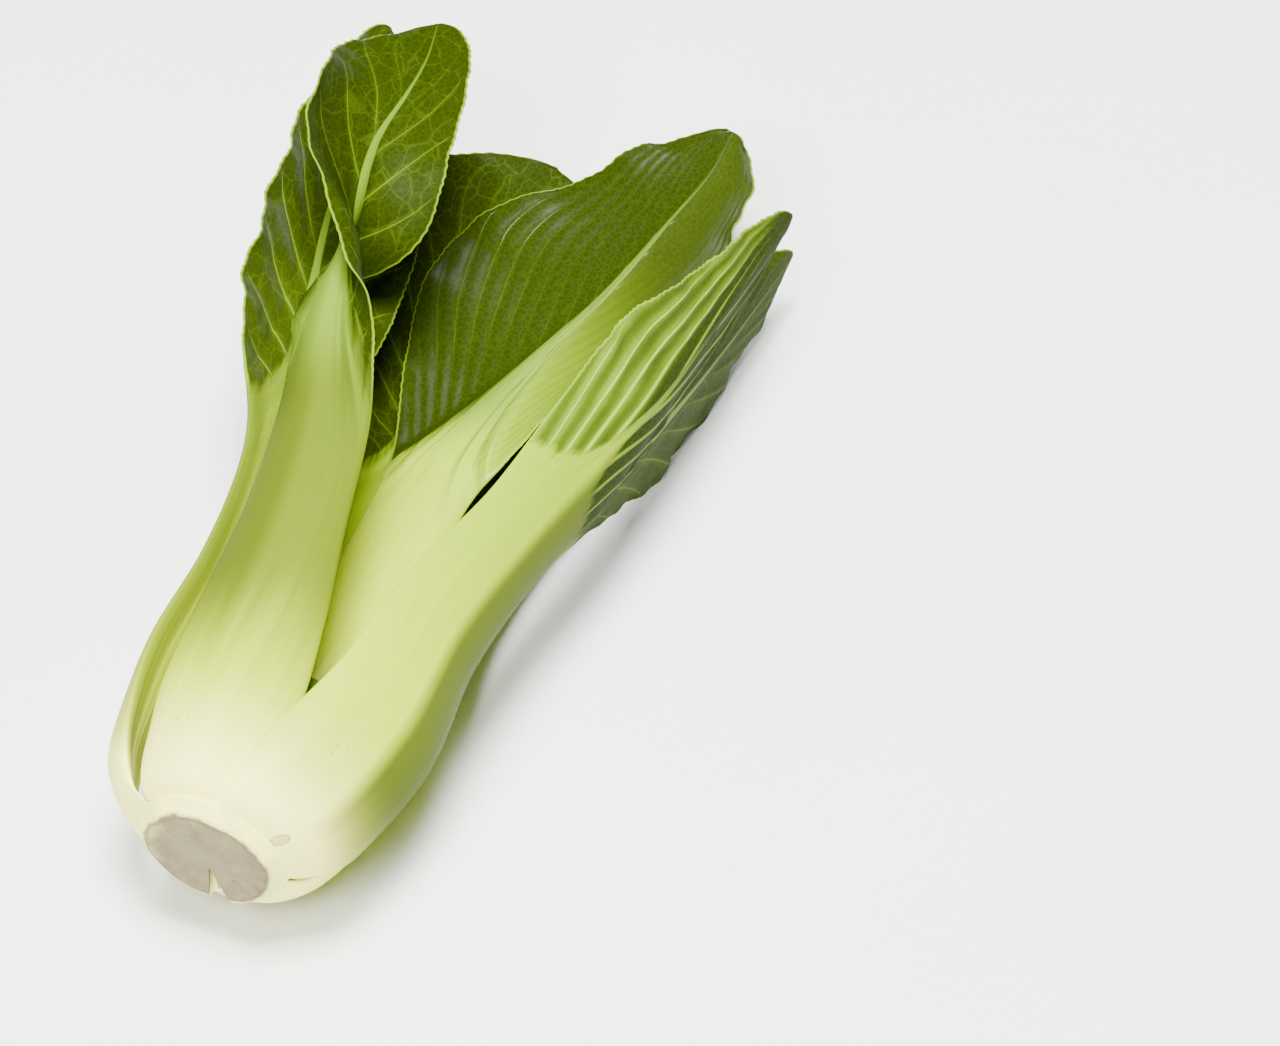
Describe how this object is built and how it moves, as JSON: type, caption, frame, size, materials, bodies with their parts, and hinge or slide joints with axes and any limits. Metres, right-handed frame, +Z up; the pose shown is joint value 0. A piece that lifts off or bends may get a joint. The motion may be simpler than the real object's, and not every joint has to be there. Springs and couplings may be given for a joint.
{
  "type": "bok choy",
  "caption": "Head of baby bok choy lying on its side, with plump pale stalks spreading from a cut stem into veined green blades.",
  "frame": {"origin": "middle of the head's bounding box, on the surface it lies on", "axes": "+Y from the cut stem towards the leaf tips, +Z up, +X to the right seen from the cut end"},
  "size_m": [0.0898, 0.1893, 0.072],
  "materials": {
    "stalk": "smooth, moist, satin",
    "blade": "waxy leaf, satin with soft gloss",
    "cut_stem": "dry brown callus"
  },
  "bodies": {
    "root": {"stem_base": "cut_stem", "leaf_1_stalk": "stalk", "leaf_1_blade": "blade", "leaf_2_stalk": "stalk", "leaf_2_blade": "blade", "leaf_3_stalk": "stalk", "leaf_3_blade": "blade", "leaf_4_stalk": "stalk", "leaf_4_blade": "blade", "leaf_5_stalk": "stalk", "leaf_5_blade": "blade", "leaf_6_stalk": "stalk", "leaf_6_blade": "blade", "leaf_7_stalk": "stalk", "leaf_7_blade": "blade", "leaf_8_stalk": "stalk", "leaf_8_blade": "blade", "leaf_9_stalk": "stalk", "leaf_9_blade": "blade"}
  },
  "joints": []
}
